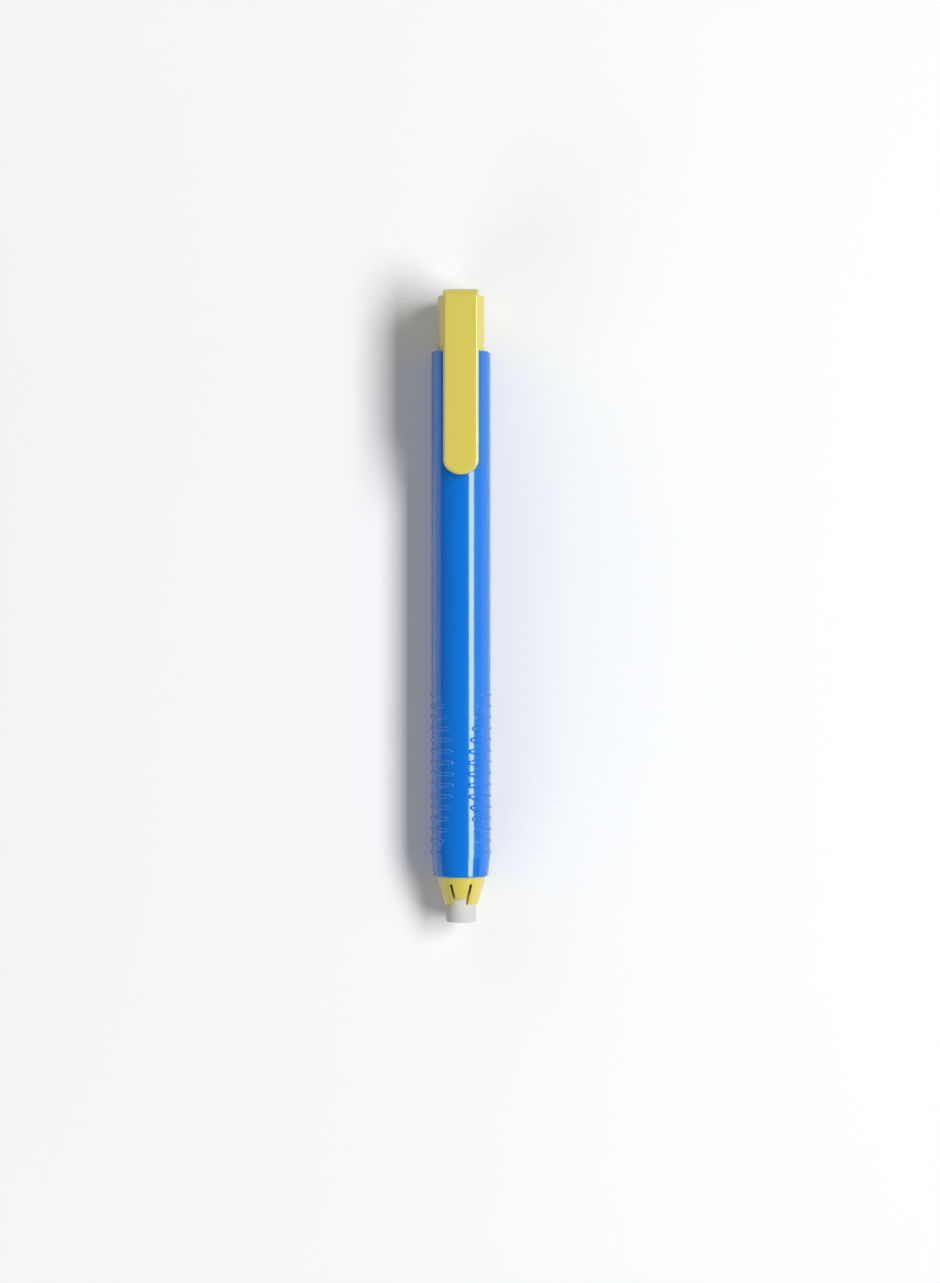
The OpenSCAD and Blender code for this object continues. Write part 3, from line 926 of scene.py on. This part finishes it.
def build_clip():
    """The clip with its hollow back, the bump at its free end and the bridge to the button."""
    bm = bmesh.new()
    rings = [clip_ring(bm, inset, share) for inset, share in CLIP_BACK_ROWS]
    for step in range(CLIP_EDGE_STEPS + 1):
        a = math.radians(90 * step / CLIP_EDGE_STEPS)
        inset = CLIP_EDGE_R * (1 - math.cos(a))
        share = 1 - CLIP_EDGE_R / CLIP_T * (1 - math.sin(a))
        rings.append(clip_ring(bm, inset, share))
    for a, b in zip(rings, rings[1:]):
        join_rings(bm, a, b)
    cap_ring(bm, rings[0])
    cap_ring(bm, rings[-1])
    clip = new_object("clip_moulding", bm)
    merge(clip, [build_bridge(), build_bump()], [build_hollow()])
    place(clip, "knock", pale_plastic, "pocket_clip")


# Return spring

WIRE_R = 0.225 * MM
WIRE_SIDES = 12
SPRING_PITCH = 2.6 * MM
# Turns that lie flat at each end
SPRING_FLAT = 0.6
STEPS_PER_TURN = 40
SPRING_SHARP_FROM = 50


def spring_ring(bm, turn, turns):
    """A ring round the wire after so many of the spring's turns."""
    mean_r = (spring_high.y - spring_low.y) / 2 - WIRE_R
    along = SPRING_PITCH * min(max(turn - SPRING_FLAT, 0), turns - 2 * SPRING_FLAT)
    ring = []
    for side in range(WIRE_SIDES):
        a = 2 * math.pi * side / WIRE_SIDES
        x = spring_low.x + WIRE_R + along + WIRE_R * math.sin(a)
        point = round_point(x, mean_r + WIRE_R * math.cos(a), 2 * math.pi * turn)
        ring.append(bm.verts.new(point))
    return ring


def build_spring():
    """The return spring. The real one shortens along X as the button is pressed; this coil is
    built at one length and given its own mesh.
    """
    length = spring_high.x - spring_low.x
    turns = (length - 2 * WIRE_R) / SPRING_PITCH + 2 * SPRING_FLAT
    count = math.ceil(turns * STEPS_PER_TURN)
    bm = bmesh.new()
    rings = [spring_ring(bm, turns * i / count, turns) for i in range(count + 1)]
    for a, b in zip(rings, rings[1:]):
        join_rings(bm, a, b)
    bm.faces.new(rings[0])
    bm.faces.new(rings[-1])
    spring = new_object("coil_spring", bm, SPRING_SHARP_FROM)
    place(spring, "housing", drawn_wire, "return_spring")
    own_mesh(spring)


build_barrel()
build_nose()
build_eraser()
build_button()
build_clip()
build_spring()
finish_node("jaw_chuck", acetal)
finish_node("clutch_ring", turned_brass)
finish_node("refill_tube", milky_plastic)


# Floor and room

PALE = (0.96, 0.96, 0.963, 1)
# The floor's colour for the light that it throws on other surfaces
FLOOR_BOUNCE = (0.25, 0.25, 0.255, 1)
FLOOR_HALF = 1.6
# Distances from the origin between which the floor fades to plain pale
FADE_FROM = 0.085
FADE_TO = 0.28
ROOM = (0.11, 0.113, 0.118, 1)
# The pale backdrop round the room, as the Z of a direction: where it ends, and up to where it
# is full
BACKDROP_TOP = 0.12
BACKDROP_FULL = BACKDROP_TOP / 3


def combine(tree, operation, a, b):
    """The result of a maths node on two outputs."""
    node = tree.nodes.new("ShaderNodeMath")
    node.operation = operation
    tree.links.new(a, node.inputs[0])
    tree.links.new(b, node.inputs[1])
    return node.outputs["Value"]


def any_seen_ray(tree):
    """1 for rays from the camera and for rays reflected or let through, otherwise 0."""
    rays = tree.nodes.new("ShaderNodeLightPath").outputs
    glossy = combine(tree, "MAXIMUM", rays["Is Camera Ray"], rays["Is Glossy Ray"])
    return combine(tree, "MAXIMUM", glossy, rays["Is Transmission Ray"])


def colour_by(tree, factor, first, second):
    """A colour that is the first at 0 and the second at 1."""
    node = tree.nodes.new("ShaderNodeMix")
    node.data_type = "RGBA"
    node.inputs["A"].default_value = first
    node.inputs["B"].default_value = second
    tree.links.new(factor, node.inputs["Factor"])
    return node.outputs["Result"]


def smooth_fade(tree, source, out, start, end):
    """A number that runs smoothly from 0 to 1 as the source runs from start to end."""
    node = tree.nodes.new("ShaderNodeMapRange")
    node.interpolation_type = "SMOOTHSTEP"
    node.inputs["From Min"].default_value = start
    node.inputs["From Max"].default_value = end
    link(tree, source, out, node, "Value")
    return node.outputs["Result"]


def floor_material():
    """A pale matt floor that gives little light back, and that fades to plain pale far away."""
    material = bpy.data.materials.new("pale_floor")
    material.use_nodes = True
    tree = material.node_tree
    shader = tree.nodes["Principled BSDF"]
    shader.inputs["Roughness"].default_value = 0.8
    shader.inputs["Specular IOR Level"].default_value = 0.1
    seen = any_seen_ray(tree)
    tree.links.new(colour_by(tree, seen, FLOOR_BOUNCE, PALE), shader.inputs["Base Color"])
    coords = tree.nodes.new("ShaderNodeTexCoord")
    away = tree.nodes.new("ShaderNodeVectorMath")
    away.operation = "LENGTH"
    link(tree, coords, "Object", away, 0)
    fade = smooth_fade(tree, away, "Value", FADE_FROM, FADE_TO)
    amount = combine(tree, "MULTIPLY", fade, seen)
    plain = tree.nodes.new("ShaderNodeEmission")
    plain.inputs["Color"].default_value = PALE
    mix = tree.nodes.new("ShaderNodeMixShader")
    tree.links.new(amount, mix.inputs["Fac"])
    link(tree, shader, "BSDF", mix, 1)
    link(tree, plain, "Emission", mix, 2)
    link(tree, mix, "Shader", tree.nodes["Material Output"], "Surface")
    return material


def build_floor():
    """A square floor at the height that the stick lies on."""
    bm = bmesh.new()
    corners = [(-1, -1), (1, -1), (1, 1), (-1, 1)]
    bm.faces.new([bm.verts.new((FLOOR_HALF * x, FLOOR_HALF * y, 0)) for x, y in corners])
    floor = new_object("floor", bm)
    floor.data.materials.append(floor_material())


def build_world():
    """A dim room with a pale backdrop all round, low over the horizon. The camera sees pale above
    the backdrop too."""
    world = bpy.data.worlds.new("studio")
    bpy.context.scene.world = world
    world.use_nodes = True
    tree = world.node_tree
    seen = any_seen_ray(tree)
    coords = tree.nodes.new("ShaderNodeTexCoord")
    split = tree.nodes.new("ShaderNodeSeparateXYZ")
    link(tree, coords, "Generated", split, "Vector")
    low = smooth_fade(tree, split, "Z", BACKDROP_TOP, BACKDROP_FULL)
    reach = combine(tree, "MULTIPLY", seen, low)
    camera = tree.nodes.new("ShaderNodeLightPath").outputs["Is Camera Ray"]
    pale = combine(tree, "MAXIMUM", reach, camera)
    background = tree.nodes["Background"]
    tree.links.new(colour_by(tree, pale, ROOM, PALE), background.inputs["Color"])


# Lamps

WHITE = (1, 1, 1)
COOL = (0.5, 0.9, 1.0)
# The key lamp's distance, and how far it leans from straight overhead
KEY_AWAY = 1.6
KEY_TILT = math.radians(41)


def facing(place_at):
    """The rotation of a lamp that stands at a place and faces the stick's middle."""
    towards = Vector((0, 0, AXIS_Z)) - Vector(place_at)
    return towards.to_track_quat("-Z", "Y").to_euler()


def area_light(name, place_at, rotation, size, watts, colour=WHITE):
    """A rectangular lamp that the camera doesn't see."""
    data = bpy.data.lights.new(name, "AREA")
    data.shape = "RECTANGLE"
    data.size, data.size_y = size
    data.energy = watts
    data.color = colour
    lamp = bpy.data.objects.new(name, data)
    lamp.location = place_at
    lamp.rotation_euler = rotation
    lamp.visible_camera = False
    bpy.context.scene.collection.objects.link(lamp)
    return lamp


def build_lamps():
    """A long soft key, a weak cool panel at the side, and a panel at each end."""
    key_at = (0, -KEY_AWAY * math.sin(KEY_TILT), KEY_AWAY * math.cos(KEY_TILT))
    side_at = (0, -1.5, 0.7)
    tail_at = (1.2, 0.8, 0.6)
    nose_at = (-1.2, 0.8, 0.5)
    area_light("key_strip", key_at, (KEY_TILT, 0, 0), size=(1.5, 0.54), watts=27)
    area_light("side_panel", side_at, facing(side_at), size=(0.8, 1.2), watts=2.2, colour=COOL)
    area_light("tail_panel", tail_at, facing(tail_at), size=(1.4, 0.8), watts=5)
    fill = area_light("nose_panel", nose_at, facing(nose_at), size=(1.0, 0.6), watts=7)
    # Glossy surfaces don't mirror this one
    fill.visible_glossy = False


# Camera, straight above the stick. The photograph's frame has so many pixels from top to bottom
# and so many to each millimetre of the stick.

FRAME_PIXELS = 1283
PIXELS_PER_MM = 4.94
CAMERA_AWAY = 0.7
# The point under the camera, from the middle of the stick
CAMERA_X = -6.9 * MM
CAMERA_Y = -1.82 * MM
# The longer side of the camera's sensor, in millimetres
SENSOR = 36


def build_camera():
    """The camera, with the stick upright in its frame and the button on top."""
    frame_height = FRAME_PIXELS / PIXELS_PER_MM * MM
    data = bpy.data.cameras.new("photo_camera")
    data.sensor_width = SENSOR
    data.lens = SENSOR * CAMERA_AWAY / frame_height
    camera = bpy.data.objects.new("photo_camera", data)
    camera.location = (CAMERA_X, CAMERA_Y, AXIS_Z + CAMERA_AWAY)
    camera.rotation_euler = (0, 0, -math.pi / 2)
    bpy.context.scene.collection.objects.link(camera)
    bpy.context.scene.camera = camera


build_floor()
build_lamps()
build_world()
build_camera()
bpy.context.scene.view_settings.view_transform = "Standard"
